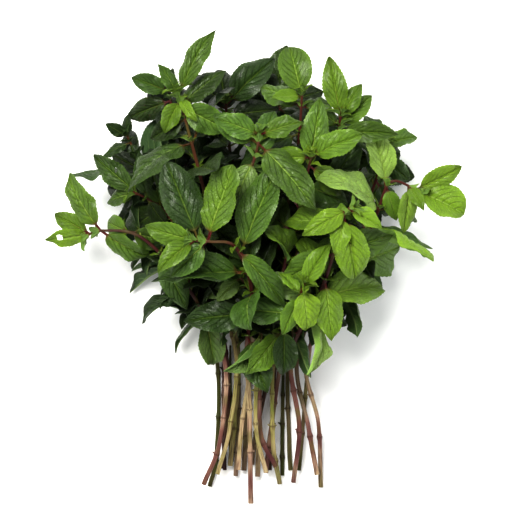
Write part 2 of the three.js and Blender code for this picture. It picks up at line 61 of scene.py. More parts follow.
chance = {
    "growthSeed": 101, "growthStep": 37, "leafSeed": 7001, "leafStep": 13, "stemSeed": 9001, "stemStep": 17,
    "drawsPerLeaf": 8, "factor": 1664525, "increment": 1013904223, "period": 2 ** 32,
}

# The sprigs. A route runs from the cut end to the tip. An aim is a listed leaf: its distance from the
# tip, its heading and rise in degrees, its length, for some its width as a share of that, and for a blunt
# leaf its outlineFall. Age runs from 0, old dark leaves, to 1, young lime ones. "ages" sets it for single
# leaves, counted from the first aim. Bark runs from 0, olive, over tan and pink-brown to 1, purple.
sprigs = [
    {
        "node": "sprig_far_left", "radius": 1.9, "roll": 20, "leafyAbove": 150, "age": 0.42, "bark": 0.8,
        "ages": {2: 0.47, 3: 0.46},
        "route": [
            [-42, 7, 14], [-30, 40, 21], [-27, 98, 25], [-53, 151, 50], [-84, 185, 62], [-111, 190, 60],
            [-125, 186, 54],
        ],
        "aims": [
            [5, 190, 10, 32, 0.42], [5, 150, -10, 32, 0.45], [14, 130, 18, 48, 0.42],
            [14, -38, 2, 42, 0.42], [34, -15, -16, 36], [34, 160, -30, 30], [62, -65, 0, 44, 0.42],
            [92, 60, 0, 40], [118, -78, -10, 44],
        ],
    },
    {
        "node": "sprig_front_left", "radius": 2.1, "roll": 0, "leafyAbove": 112, "age": 0.32, "bark": 0.5,
        "ages": {0: 0.55, 1: 0.58, 2: 0.15, 3: 0.52, 4: 0.42, 5: 0.46, 12: 0.2},
        "route": [
            [-8, -7, 10], [-9, 67, 27], [-11, 104, 31], [-7, 147, 72], [-18, 178, 98], [-35, 182, 104],
            [-49, 183, 104],
        ],
        "aims": [
            [3, 168, 22, 36, 0.45], [3, 215, 25, 34], [6, 112, 8, 58, 0.46, 0.68],
            [12, 75, 14, 55, 0.52, 0.65], [40, 68, 8, 64, 0.46, 0.68], [34, -46, -2, 58, 0.32],
            [12, -135, 15, 36],
        ],
    },
    {
        "node": "sprig_front_right", "radius": 2, "roll": 45, "leafyAbove": 130, "age": 0.62, "bark": 0.72,
        "ages": {2: 0.7, 1: 0.78},
        "route": [
            [23, 8, 8], [27, 49, 22], [21, 101, 29], [41, 149, 80], [52, 186, 100], [56, 201, 105],
            [62, 206, 106],
        ],
        "aims": [
            [4, -28, 10, 26, 0.6], [4, 208, 28, 38, 0.4], [10, -76, 5, 47, 0.55, 0.75], [10, -102, 22, 28],
            [16, 168, -14, 44], [16, 80, 30, 20], [38, 20, 0, 44], [38, -150, 0, 44], [60, -80, 12, 42],
            [60, 120, -10, 40],
        ],
    },
    {
        "node": "sprig_low_right", "radius": 1.9, "roll": 80, "leafyAbove": 125, "age": 0.5, "bark": 0.1,
        "ages": {0: 0.68, 1: 0.82, 6: 0.16, 7: 0.64},
        "route": [[13, 7, 8], [8, 40, 22], [9, 104, 35], [21, 134, 84], [29, 154, 102]],
        "aims": [
            [4, 62, 18, 36, 0.45], [4, -80, 0, 33, 0.62], [11, -108, 20, 30], [11, 150, -20, 30],
            [31, 165, -12, 40], [31, 10, -10, 36], [54, -88, 0, 38], [62, -127, 20, 40],
        ],
    },
    {
        "node": "sprig_upper_right", "radius": 1.9, "roll": 30, "leafyAbove": 112, "age": 0.55, "bark": 0.7,
        "ages": {0: 0.6, 2: 0.58}, "tips": 0.98,
        "route": [[10, 21, 25], [-1, 47, 26], [1, 102, 24], [15, 162, 60], [27, 211, 79], [34, 242, 94]],
        "aims": [
            [3, 31, 22, 40], [3, 178, 0, 30], [9, 79, 8, 47, 0.42], [9, -35, -22, 36], [24, 110, -10, 34],
            [24, -20, -14, 40],
        ],
    },
    {
        "node": "sprig_far_right", "radius": 1.8, "roll": 60, "leafyAbove": 150, "age": 0.66, "bark": 0.5,
        "ages": {0: 0.7, 1: 0.78, 4: 0.94},
        "route": [
            [43, 4, 5], [41, 51, 13], [32, 99, 21], [59, 148, 46], [80, 201, 60], [90, 224, 66],
            [111, 217, 62],
        ],
        "aims": [
            [4, 26, 12, 36, 0.42, 0.8], [4, -24, 12, 38, 0.76, 0.55], [10, -92, 14, 34, 0.42],
            [10, -48, 35, 24, 0.4], [28, 97, 15, 42, 0.5, 0.6], [28, -72, 0, 26],
        ],
    },
    {
        "node": "sprig_top_left", "radius": 2, "roll": 10, "leafyAbove": 112, "age": 0.16, "bark": 0.3,
        "ages": {0: 0.36, 3: 0.5, 4: 0.6, 5: 0.9}, "tips": 0.8,
        "route": [
            [-23, 20, 8], [-19, 59, 13], [-17, 103, 17], [-27, 162, 44], [-44, 232, 66], [-59, 288, 76],
        ],
        "aims": [
            [4, 66, 12, 53, 0.32], [4, 120, 30, 26, 0.4], [12, 44, 4, 40], [12, -32, 18, 36, 0.56, 0.7],
            [8, -118, 4, 26, 0.6], [5, -66, 25, 24, 0.32], [22, 100, -20, 34, 0.4], [22, 210, 10, 30],
        ],
    },
    {
        "node": "sprig_top_middle", "radius": 2, "roll": 55, "leafyAbove": 112, "age": 0.42, "bark": 0.4,
        "ages": {0: 0.44},
        "route": [[-3, 12, 6], [-2, 51, 12], [0, 103, 13], [10, 169, 44], [24, 239, 62], [28, 287, 72]],
        "aims": [
            [4, 104, 8, 38, 0.62, 0.7], [4, 178, 25, 22], [12, 140, -20, 40], [12, 14, -28, 28],
            [30, 20, 0, 40], [30, 200, 10, 48],
        ],
    },
    {
        "node": "sprig_top_right", "radius": 1.9, "roll": 25, "leafyAbove": 112, "age": 0.36, "bark": 0.62,
        "ages": {0: 0.56, 1: 0.6, 2: 0.6, 4: 0.38},
        "route": [[3, 15, 9], [7, 49, 15], [15, 101, 14], [31, 169, 42], [48, 232, 62], [55, 272, 75]],
        "aims": [
            [4, 101, 12, 44, 0.38], [4, 60, 12, 28], [10, 46, 0, 33, 0.55], [10, 150, -20, 34],
            [14, 4, 12, 42, 0.38], [20, 200, 5, 40],
        ],
    },
    {
        "node": "sprig_left_shoulder", "radius": 1.8, "roll": 75, "leafyAbove": 125, "age": 0.1,
        "bark": 0.97, "ages": {0: 0.1}, "tips": 0.12,
        "route": [
            [-29, 18, 7], [-25, 52, 12], [-26, 103, 12], [-41, 168, 30], [-57, 248, 40], [-66, 292, 48],
        ],
        "aims": [
            [4, 86, 10, 18, 0.4], [4, 158, 10, 30], [10, 200, -4, 38, 0.45], [10, 252, 16, 26, 0.6],
            [28, -92, 10, 32, 0.6, 0.6], [28, 130, -15, 38],
        ],
    },
    {
        "node": "sprig_left_tuft", "radius": 1.7, "roll": 40, "leafyAbove": 125, "age": 0.16, "bark": 0.15,
        "ages": {0: 0.12, 1: 0.1, 2: 0.2, 3: 0.1}, "tips": 0.15,
        "route": [[-38, 4, 1], [-33, 29, 1], [-33, 99, 5], [-52, 162, 20], [-80, 225, 32], [-97, 260, 40]],
        "aims": [
            [3, 150, 20, 18], [3, 95, 20, 16], [8, 200, 5, 24, 0.4], [8, -70, 15, 14], [20, 120, -15, 28],
            [20, -60, 10, 34],
        ],
    },
    {
        "node": "sprig_left_middle", "radius": 1.8, "roll": 15, "leafyAbove": 140, "age": 0.18,
        "bark": 0.34,
        "route": [
            [-32, 15, 17], [-23, 49, 24], [-19, 105, 25], [-41, 161, 40], [-68, 203, 52], [-91, 218, 58],
        ],
        "aims": [
            [4, 140, 0, 44, 0.36], [4, 185, -10, 26, 0.6], [12, 100, 22, 34, 0.4], [12, -60, 0, 26],
            [24, 112, 22, 40, 0.4], [24, 215, -10, 32, 0.55],
        ],
    },
    {
        "node": "sprig_right_shoulder", "radius": 1.9, "roll": 65, "leafyAbove": 150, "age": 0.42,
        "bark": 0.6,
        "route": [[40, 14, 13], [34, 47, 16], [26, 100, 7], [52, 162, 26], [80, 223, 40], [86, 254, 50]],
        "aims": [
            [4, 20, -10, 30], [4, 110, -10, 30], [12, 178, 15, 44, 0.45], [12, -40, -20, 30],
            [30, 60, -10, 36], [30, -60, -15, 36],
        ],
    },
    {
        "node": "sprig_low_far_right", "radius": 1.8, "roll": 35, "leafyAbove": 130, "age": 0.38,
        "bark": 0.3,
        "route": [[27, 16, 4], [30, 49, 5], [34, 97, 12], [39, 128, 26], [51, 151, 42]],
        "aims": [[4, 30, 0, 34], [4, -66, 10, 30], [12, -100, -10, 36], [12, 80, 20, 34]],
    },
    {
        "node": "sprig_top_back", "radius": 2, "roll": 50, "leafyAbove": 112, "age": 0.06, "bark": 0.5,
        "route": [[-13, 16, 4], [-11, 55, 5], [-9, 102, 6], [-16, 177, 18], [-23, 248, 26], [-26, 284, 34]],
        "aims": [[4, 47, 6, 50], [4, 140, -5, 36], [12, 100, 0, 44], [12, 10, 0, 40]],
    },
    {
        "node": "sprig_middle_top", "radius": 1.9, "roll": 5, "leafyAbove": 112, "age": 0.4, "bark": 0.45,
        "ages": {0: 0.5, 2: 0.32},
        "route": [
            [-17, 18, 16], [-14, 54, 22], [-7, 103, 24], [-7, 162, 62], [-10, 217, 86], [-4, 243, 93],
            [-1, 258, 95],
        ],
        "aims": [
            [3, 20, 25, 32], [3, 160, 25, 34], [9, -36, 7, 62, 0.42], [9, 150, 10, 38], [20, 70, -12, 40],
            [20, -120, 10, 40],
        ],
    },
    {
        "node": "sprig_back_middle", "radius": 1.8, "roll": 70, "leafyAbove": 112, "age": 0.2, "bark": 0.55,
        "route": [[-7, 20, 1], [-5, 38, 1], [7, 102, 4], [10, 177, 8], [10, 249, 9], [7, 288, 12]],
        "aims": [[4, 76, -6, 46], [4, 150, -8, 38], [12, 110, 5, 40], [12, 30, -6, 44]],
    },
    {
        "node": "sprig_back_left", "radius": 1.8, "roll": 33, "leafyAbove": 130, "age": 0.2, "bark": 0.5,
        "route": [[-19, 12, 5], [-17, 53, 5], [-19, 102, 6], [-39, 168, 9], [-68, 209, 9], [-84, 236, 12]],
        "aims": [[5, 150, -5, 34], [5, 70, -5, 38], [22, 215, -9, 44], [22, 60, 5, 36]],
    },
    {
        "node": "sprig_back_right", "radius": 1.8, "roll": 12, "leafyAbove": 140, "age": 0.3, "bark": 0.3,
        "route": [[21, 16, 1], [20, 38, 1], [20, 102, 5], [36, 168, 9], [61, 213, 9], [75, 243, 12]],
        "aims": [[5, 60, -5, 38], [5, -10, -6, 44], [24, -60, -9, 44], [24, 120, 5, 36]],
    },
    {
        "node": "sprig_low_front", "radius": 1.8, "roll": 90, "leafyAbove": 112, "age": 0.42, "bark": 0.22,
        "ages": {3: 0.24, 4: 0.35},
        "route": [[3, 17, 22], [-4, 48, 35], [-4, 84, 40], [-3, 104, 42], [0, 133, 48], [-17, 160, 64]],
        "aims": [
            [4, 110, 22, 20], [4, -140, 22, 24], [12, 190, 0, 30], [36, 198, 26, 40, 0.58, 0.7],
            [36, -100, 5, 36, 0.6, 0.7],
        ],
    },
]
bareStems = {  # radius, bark and route
    "left": (1.6, 0.9, [[-27, 16, 2], [-28, 45, 2], [-28, 107, 2]]),
    "left_middle": (1.7, 0.12, [[-22, 22, 2], [-23, 45, 2], [-23, 107, 2]]),
    "right_middle": (1.6, 0.78, [[6, 16, 2], [7, 45, 2], [11, 107, 2]]),
    "right": (1.7, 0.05, [[15, 12, 2], [15, 45, 2], [16, 107, 2]]),
}
for name, (radius, bark, route) in bareStems.items():
    sprigs.append({
        "node": "bare_stem_" + name, "radius": radius, "bark": bark, "roll": 0, "leafyAbove": inf,
        "route": route, "aims": [],
    })


# Growing the sprigs

def randomFrom(seed):  # numbers from 0 to 1, the same in each run
    state = seed
    while True:
        state = (chance["factor"] * state + chance["increment"]) % chance["period"]
        yield state / chance["period"]


def drawn(random, bounds):  # a least value and the range above it
    least, spread = bounds
    return least + spread * next(random)


def centreLine(route):  # points from the tip to the cut end, each with its distance from the tip
    corners = [Vector(corner) - bunchMiddle for corner in route]
    corners = [2 * corners[0] - corners[1]] + corners + [2 * corners[-1] - corners[-2]]
    spans, steps = len(route) - 1, growth["linePoints"]
    points = []
    for step in range(steps + 1):
        span = min(step * spans // steps, spans - 1)
        t = step * spans / steps - span
        before, start, end, after = corners[span:span + 4]
        leave, arrive = (end - before) / 2, (after - start) / 2
        points.append(start + leave * t + (3 * (end - start) - 2 * leave - arrive) * t ** 2
                      + (2 * (start - end) + leave + arrive) * t ** 3)
    points.reverse()
    line, walked = [], 0
    for i, point in enumerate(points):
        if i:
            walked += (point - points[i - 1]).length
        line.append((point, walked))
    return line


def placeAt(sprig, distance):
    line, i = sprig["line"], 1
    while i < len(line) - 1 and line[i][1] < distance:
        i += 1
    (near, nearWalked), (far, farWalked) = line[i - 1], line[i]
    share = (distance - nearWalked) / (farWalked - nearWalked)
    return near.lerp(far, share), (near - far).normalized()


def across(along):
    level = up.cross(along).normalized()
    return level, along.cross(level)


def outwardFrom(along, turn):
    level, rising = across(along)
    return level * cos(turn) + rising * sin(turn)


def squareTo(direction, along):
    return (direction - along * direction.dot(along)).normalized()


def between(start, end, share):
    return start + (end - start) * share


def stemRadius(sprig, distance):
    thickened = max(0, distance / sprig["length"]) ** growth["stemTaper"]
    return sprig["radius"] * between(growth["stemTip"], 1, thickened)


def nodeDistances(sprig):
    distances, gap = [], growth["firstGap"]
    distance = max([0] + [aim[0] for aim in sprig["aims"]]) + gap
    while distance < sprig["length"] - gap / 2:
        distances.append(distance)
        gap = min(gap * growth["gapGrowth"], growth["longestGap"])
        distance += gap
    return distances


def swungBy(attempt, swing):  # how far a try is swung from the leaf's first place, and its size
    size = attempt * swing
    scale = tries["shorter"] if attempt > tries["shorterAfter"] else 1
    return size * sin(attempt * tries["turn"]), size * cos(attempt * tries["turn"]), scale


def curl(draw, habit):  # how a leaf is bent along its length, twisted, and folded along its midrib
    return {
        "bend": habit["leastBend"] + habit["bend"] * draw[1], "twist": (draw[2] - 0.5) * habit["twist"],
        "fold": habit["leastFold"] + habit["fold"] * draw[7] ** 2,
    }


def aimedLeaf(sprig, aim, draw, attempt):
    distance, heading, rise, length, *shape = aim
    widthShare = shape[0] if shape else growth["widthShare"]
    fall = shape[1] if len(shape) > 1 else growth["outlineFall"]
    point, along = placeAt(sprig, distance)
    turn, lift, scale = swungBy(attempt, tries["aimedSwing"])
    turn, lift = radians(heading + turn), radians(rise + lift)
    direction = Vector((cos(lift) * cos(turn), cos(lift) * sin(turn), sin(lift)))
    normal = squareTo(up + growth["tipward"] * along, direction)
    normal.rotate(Quaternion(direction, (draw[0] - 0.5) * aimedHabit["roll"]))
    length *= scale
    return {
        "root": point, "along": direction, "normal": normal, "distance": distance, "length": length,
        "width": length * widthShare, "fall": fall, **curl(draw, aimedHabit),
    }


def pairedLeaf(sprig, distance, quarter, draw, attempt):
    point, along = placeAt(sprig, distance)
    turn, lift, scale = swungBy(attempt, tries["pairedSwing"])
    turn = radians(sprig["roll"] + 90 * quarter + growth["unevenness"] * (draw[3] - 0.5) + turn)
    opening = between(growth["openAtTip"], growth["openAtBase"], min(1, distance / growth["openOver"]))
    opening = radians(opening + growth["unevenness"] * (draw[4] - 0.5) + lift)
    direction = along * cos(opening) + outwardFrom(along, turn) * sin(opening)
    outside = Vector((point.x, 0, point.z - growth["middleHeight"])).normalized()
    normal = squareTo(facing["along"] * along + facing["outside"] * outside + facing["up"] * up, direction)
    normal.rotate(Quaternion(direction, (draw[0] - 0.5) * pairedHabit["roll"]))
    grown = min(1, distance / growth["grownFrom"]) ** growth["growing"]
    shorter = growth["shortening"] * max(0, distance - growth["shorterFrom"])
    length = between(growth["tipLength"], growth["grownLength"], grown) * (1 - shorter)
    length *= (growth["leastSize"] + growth["sizeRange"] * draw[5]) * scale
    widthShare = growth["widthShare"] + growth["widthRange"] * (draw[6] - 0.5)
    return {
        "root": point, "along": direction, "normal": normal, "distance": distance, "length": length,
        "width": length * widthShare, "fall": growth["outlineFall"], **curl(draw, pairedHabit),
    }


def leafFrame(leaf, share):  # the midrib's place, the way to the leaf's right and its upper side's normal
    bent, turn = leaf["bend"] * share, leaf["twist"] * share
    straight = leaf["along"] * sin(bent) + leaf["normal"] * cos(bent)
    sideways = leaf["along"].cross(leaf["normal"])
    forward, back = sin(bent) / leaf["bend"], (1 - cos(bent)) / leaf["bend"]
    point = leaf["root"] + leaf["along"] * leaf["length"] * forward - leaf["normal"] * leaf["length"] * back
    normal = straight * cos(turn) - sideways * sin(turn)
    return point, sideways * cos(turn) + straight * sin(turn), normal


def isInFrame(leaf, corners):  # whether the frame's sprig has this leaf's tip
    point, _, normal = leafFrame(leaf, 1)
    half = growth["halfThickness"]
    if point.z < 2 * half:
        point.z, normal = half, up
    tips = [(point + side * half * normal) * mm for side in (1, -1)]
    return any(corners.find(tip)[2] < matchWithin for tip in tips)


def leavesOf(sprig, index):
    random = randomFrom(chance["growthSeed"] + chance["growthStep"] * index)
    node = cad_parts[sprig["node"]]
    corners = KDTree(len(node.data.vertices))
    for vertex in node.data.vertices:
        corners.insert(vertex.co, vertex.index)
    corners.balance()
    leaves, ages = [], sprig.get("ages", {})

    def grow(number, tryAt):
        tried = (tryAt(attempt) for attempt in range(tries["most"]))
        leaf = next((leaf for leaf in tried if isInFrame(leaf, corners)), None)
        if leaf and number in ages:
            leaf["age"] = ages[number]
        if leaf:
            leaves.append(leaf)

    for number, aim in enumerate(sprig["aims"]):
        draw = [next(random) for _ in range(chance["drawsPerLeaf"])]
        grow(number, lambda attempt: aimedLeaf(sprig, aim, draw, attempt))
    for pair, distance in enumerate(sprig["leafyNodes"]):
        for side in (0, 1):
            draw = [next(random) for _ in range(chance["drawsPerLeaf"])]
            number = len(sprig["aims"]) + 2 * pair + side
            grow(number, lambda attempt: pairedLeaf(sprig, distance, pair + 2 * side, draw, attempt))
    return leaves


for index, sprig in enumerate(sprigs):
    sprig["line"] = centreLine(sprig["route"])
    sprig["length"] = sprig["line"][-1][1]
    nodes = nodeDistances(sprig)
    leafyFrom = sprig["leafyAbove"] - bunchMiddle.y
    sprig["leafyNodes"] = [d for d in nodes if placeAt(sprig, d)[0].y > leafyFrom]
    sprig["bareNodes"] = [d for d in nodes if d not in sprig["leafyNodes"]]
    sprig["leaves"] = leavesOf(sprig, index)
print("leaves found in the frame:", sum(len(sprig["leaves"]) for sprig in sprigs))


# Node helpers

def newMaterial(name):
    material = bpy.data.materials.new(name)
    material.use_nodes = True
    tree = material.node_tree
    return material, tree, tree.nodes["Principled BSDF"]


def feed(tree, node, inputs):
    for key, value in inputs.items():
        if isinstance(value, bpy.types.NodeSocket):
            tree.links.new(value, node.inputs[key])
        else:
            node.inputs[key].default_value = value


def addNode(tree, kind, inputs, **settings):
    node = tree.nodes.new("ShaderNode" + kind)
    for key, value in settings.items():
        setattr(node, key, value)
    feed(tree, node, inputs)
    return node


def calc(tree, operation, a, b=0, c=0, clamp=False):
    node = addNode(tree, "Math", {0: a, 1: b, 2: c}, operation=operation, use_clamp=clamp)
    return node.outputs[0]


def times(tree, a, b):
    return calc(tree, "MULTIPLY", a, b)


def fade(tree, value, low, high, lowResult=0, highResult=1):
    inputs = {"Value": value, "From Min": low, "From Max": high, "To Min": lowResult, "To Max": highResult}
    return addNode(tree, "MapRange", inputs, interpolation_type="SMOOTHSTEP").outputs[0]


def blendColours(tree, amount, a, b, kind="MIX"):
    a, b = ((*colour, 1) if isinstance(colour, tuple) else colour for colour in (a, b))
    return addNode(tree, "Mix", {0: amount, 6: a, 7: b}, data_type="RGBA", blend_type=kind).outputs[2]


def layered(tree, colour, *layers):  # each layer is a mask and the colour that it shows
    for mask, paint in layers:
        colour = blendColours(tree, mask, colour, paint)
    return colour


def ramp(tree, value, stops):
    node = addNode(tree, "ValToRGB", {0: value})
    elements = node.color_ramp.elements
    elements[0].position, elements[0].color = stops[0][0], (*stops[0][1], 1)
    elements[1].position, elements[1].color = stops[-1][0], (*stops[-1][1], 1)
    for position, colour in stops[1:-1]:
        elements.new(position).color = (*colour, 1)
    return node.outputs[0]


def noise(tree, vector, scale, detail=3, roughness=0.5):
    inputs = {"Vector": vector, "Scale": scale, "Detail": detail, "Roughness": roughness}
    return addNode(tree, "TexNoise", inputs).outputs[0]


def varied(tree, value, pattern, amount):  # higher where the pattern is bright, lower where it is dark
    return calc(tree, "ADD", value, calc(tree, "MULTIPLY_ADD", pattern, amount, -amount / 2))


def bump(tree, height, distance, strength):
    inputs = {"Height": height, "Distance": distance, "Strength": strength}
    return addNode(tree, "Bump", inputs).outputs[0]


def parts(tree, attribute):
    source = addNode(tree, "Attribute", {}, attribute_name=attribute).outputs["Color"]
    return addNode(tree, "SeparateColor", {0: source}).outputs[:3]


def place3d(tree):
    return addNode(tree, "TexCoord", {}).outputs["Object"]


def newPiece(name, form, *materials):
    mesh = bpy.data.meshes.new(name)
    form.to_mesh(mesh)
    form.free()
    for material in materials:
        mesh.materials.append(material)
    piece = bpy.data.objects.new(name, mesh)
    bpy.context.scene.collection.objects.link(piece)
    return piece


def smooth(mesh, angle):
    mesh.polygons.foreach_set("use_smooth", [True] * len(mesh.polygons))
    mesh.set_sharp_from_angle(angle=radians(angle))


# Leaves

blades = {
    "rowLength": 1.28, "coarseRowLength": 2.4, "columns": 16, "smallColumns": 8, "tinyColumns": 6,
    "largeLength": 22, "tinyLength": 14, "columnSpread": 1.25, "petioleRows": 3, "fullLength": 52,
    "thickness": 0.3, "ribThickness": 1.2, "ribWidth": 0.08, "ribDepth": 0.8, "grooveWidth": 0.07,
    "veinPairs": 6.5, "veinLean": 0.27, "veinCurve": 0.2, "veinStagger": 0.08, "panelLift": 1.55,
    "tooth": 0.6, "toothEdge": 8, "foldAtRib": 1.25, "foldEasing": 0.35, "margin": 0.42,
    "wave": 1.9, "wavesAlong": (1.6, 3.4), "tipCurl": 6, "curlFrom": 0.55, "crumple": 1.9,
    "crumpleSize": 15, "tableGap": 0.02, "sharpAngle": 50,
}
leafPaint = {
    "ages": [
        (0, (0.012, 0.025, 0.003)), (0.25, (0.042, 0.08, 0.009)), (0.5, (0.098, 0.172, 0.02)),
        (0.75, (0.17, 0.276, 0.018)), (1, (0.245, 0.372, 0.026)),
    ],
    "bluer": (0.88, 1, 1.7), "paleSheen": (0.3, 0.41, 0.17), "shade": (0.45, 0.5, 0.5),
    "paleVein": (0.36, 0.46, 0.12), "redMidrib": (0.26, 0.09, 0.06), "farMidrib": (0.28, 0.4, 0.09),
    "greenStalk": (0.15, 0.2, 0.025), "redStalk": (0.15, 0.016, 0.018), "scorched": (0.06, 0.035, 0.01),
    "cells": (15, 26, 1), "mottleScale": 80, "spotScale": 420, "dropScale": 380,
    "relief": 0.0003, "specular": 0.36, "coat": 0.16, "coatRoughness": 0.22,
}
backPaint = {
    "ages": [(0, (0.055, 0.105, 0.035)), (0.5, (0.12, 0.22, 0.05)), (1, (0.28, 0.43, 0.09))],
    "veins": (0.32, 0.42, 0.15), "greenStalk": (0.2, 0.28, 0.06), "redStalk": (0.21, 0.03, 0.03),
    "mottleScale": 120, "relief": 0.00025, "roughness": 0.6,
}


def veinPattern(tree):  # side and length along the blade, and masks of its veins, midrib and cells
    place = addNode(tree, "UVMap", {}).outputs[0]
    split = addNode(tree, "SeparateXYZ", {0: place})
    signed = calc(tree, "MULTIPLY_ADD", split.outputs[0], 2, -1)
    side = calc(tree, "ABSOLUTE", signed)
    along = calc(tree, "DIVIDE", calc(tree, "SUBTRACT", split.outputs[1], petiole), 1 - petiole)
    lean = times(tree, side, blades["veinLean"])
    curve = times(tree, times(tree, side, side), blades["veinCurve"])
    shifted = calc(tree, "SUBTRACT", calc(tree, "SUBTRACT", along, lean), curve)
    phase = times(tree, shifted, blades["veinPairs"])
    stagger = times(tree, calc(tree, "SIGN", signed), blades["veinStagger"])
    fromVein = calc(tree, "PINGPONG", calc(tree, "ADD", phase, stagger), 0.5)
    vein = fade(tree, fromVein, 0.01, 0.09, 1, 0)
    vein = times(tree, vein, fade(tree, side, 0.5, 0.95, 1, 0))
    vein = times(tree, vein, fade(tree, along, 0, 0.08))
    midrib = fade(tree, side, 0.015, 0.06, 1, 0)
    network = addNode(tree, "Mapping", {"Vector": place, "Scale": leafPaint["cells"]}).outputs[0]
    cells = addNode(tree, "TexVoronoi", {"Vector": network, "Scale": 1}, feature="DISTANCE_TO_EDGE")
    return along, side, vein, midrib, fade(tree, cells.outputs[0], 0, 0.22)


def leafAge(tree, age, mottle, side, along):  # younger in the middle, at the edge and at the base
    aged = varied(tree, age, mottle, 0.3)
    for mask, amount in (
        (fade(tree, side, 0, 0.6, 1, 0), 0.09), (fade(tree, side, 0.75, 1), 0.07),
        (fade(tree, along, 0, 0.35, 1, 0), 0.08),
    ):
        aged = calc(tree, "ADD", aged, times(tree, mask, amount))
    return aged


def makeLeafMaterial():
    material, tree, shader = newMaterial("mint leaf, upper side")
    # the age also carries painted shade: it is lower for leaves under others and inside the bunch
    age, tone, seed = parts(tree, "leafLook")
    along, side, vein, midrib, cell = veinPattern(tree)
    place = place3d(tree)
    mottle = noise(tree, place, leafPaint["mottleScale"], 4, 0.6)
    spots = noise(tree, place, leafPaint["spotScale"], 2)
    colour = ramp(tree, leafAge(tree, age, mottle, side, along), leafPaint["ages"])
    bluer = blendColours(tree, 1, colour, leafPaint["bluer"], "MULTIPLY")
    # painted sheen: a pale whitish green is laid over some older leaves with a high seed
    paleSheen = times(tree, fade(tree, seed, 0.76, 0.9, 0, 0.35), fade(tree, age, 0.3, 0.5))
    colour = layered(tree, colour, (fade(tree, seed, 0.1, 0.6, 0.6, 0), bluer), (paleSheen, leafPaint["paleSheen"]))
    # painted shade: the blade's colour, darkened, is laid below into the vein grooves and the fine vein
    # network
    dark = blendColours(tree, 1, colour, leafPaint["shade"], "MULTIPLY")
    rib = layered(
        tree, leafPaint["paleVein"], (fade(tree, tone, 0.6, 0.95, 0, 0.5), leafPaint["redMidrib"]),
        (fade(tree, along, 0.05, 0.6), leafPaint["farMidrib"]),
    )
    stalk = layered(tree, leafPaint["greenStalk"], (fade(tree, tone, 0.2, 0.7), leafPaint["redStalk"]))
    scorched = times(tree, fade(tree, spots, 0.66, 0.72), fade(tree, seed, 0.55, 0.9, 0, 0.7))
    colour = layered(
        tree, colour,
        (times(tree, vein, fade(tree, age, 0.2, 0.7, 0.62, 0.1)), dark),
        (times(tree, vein, fade(tree, age, 0.45, 0.85, 0, 0.45)), leafPaint["paleVein"]),
        (calc(tree, "MULTIPLY_ADD", cell, -0.28, 0.28), dark),
        (times(tree, midrib, fade(tree, age, 0.1, 0.5, 0.35, 0.85)), rib),
        (fade(tree, along, -0.02, 0.07, 1, 0), stalk), (scorched, leafPaint["scorched"]),
    )
    rough = calc(tree, "MULTIPLY_ADD", mottle, 0.3, 0.26)
    rough = calc(tree, "ADD", rough, times(tree, age, 0.1))
    drops = addNode(tree, "TexVoronoi", {"Vector": place, "Scale": leafPaint["dropScale"]})
    pick = addNode(tree, "SeparateColor", {0: drops.outputs["Color"]}).outputs[0]
    drop = fade(tree, drops.outputs[0], 0.1, 0.26, 1, 0)
    drop = times(tree, drop, fade(tree, pick, 0.88, 0.9))
    drop = times(tree, drop, fade(tree, seed, 0.25, 0.3, 1, 0))
    height = cell
    for mask, amount in ((vein, -2.6), (spots, 0.6), (drop, 4)):
        height = calc(tree, "ADD", height, times(tree, mask, amount))
    feed(tree, shader, {
        "Base Color": colour, "Roughness": calc(tree, "MULTIPLY_ADD", drop, -0.3, rough, clamp=True),
        "Normal": bump(tree, height, leafPaint["relief"], 0.9), "Specular IOR Level": leafPaint["specular"],
        "Coat Weight": leafPaint["coat"], "Coat Roughness": leafPaint["coatRoughness"],
    })
    return material


def makeUndersideMaterial():
    material, tree, shader = newMaterial("mint leaf, underside")
    age, tone, _ = parts(tree, "leafLook")
    along, _, vein, midrib, cell = veinPattern(tree)
    mottle = noise(tree, place3d(tree), backPaint["mottleScale"])
    aged = varied(tree, age, mottle, 0.3)
    raised = calc(tree, "MAXIMUM", times(tree, vein, 0.6), midrib)
    stalk = layered(tree, backPaint["greenStalk"], (tone, backPaint["redStalk"]))
    colour = layered(
        tree, ramp(tree, aged, backPaint["ages"]), (times(tree, raised, 0.55), backPaint["veins"]),
        (fade(tree, along, -0.02, 0.1, 1, 0), stalk),
    )
    height = calc(tree, "ADD", times(tree, cell, -0.6), raised)
    feed(tree, shader, {
        "Base Color": colour, "Roughness": backPaint["roughness"],
        "Normal": bump(tree, height, backPaint["relief"], 0.8),
    })
    return material


def halfWidth(leaf, share):
    blade = (share - petiole) / (1 - petiole)
    if blade <= 0:
        return growth["petioleHalfWidth"] * min(1, leaf["length"] / 20)
    rise, fall = growth["outlineRise"], leaf["fall"]
    widest = rise / (rise + fall)
    outline = max(0, blade) ** rise * max(0, 1 - blade) ** fall / (widest ** rise * (1 - widest) ** fall)
    return max(0.5 * leaf["width"] * outline, growth["petioleHalfWidth"] * (1 - blade) * (blade < 0.25))


def bladeHabit(leaf, random):  # how one blade waves, curls and crumples
    scale = min(1, leaf["length"] / blades["fullLength"])
    return {
        "scale": scale,
        "phases": [2 * pi * next(random) for _ in range(4)],
        "margin": blades["margin"] * (next(random) - 0.6),
        "tipCurl": blades["tipCurl"] * scale * (next(random) - 0.25),
        "waves": blades["wave"] * scale * (0.5 + next(random)),
        "crumple": blades["crumple"] * scale * (0.4 + 1.2 * next(random) ** 2),
    }


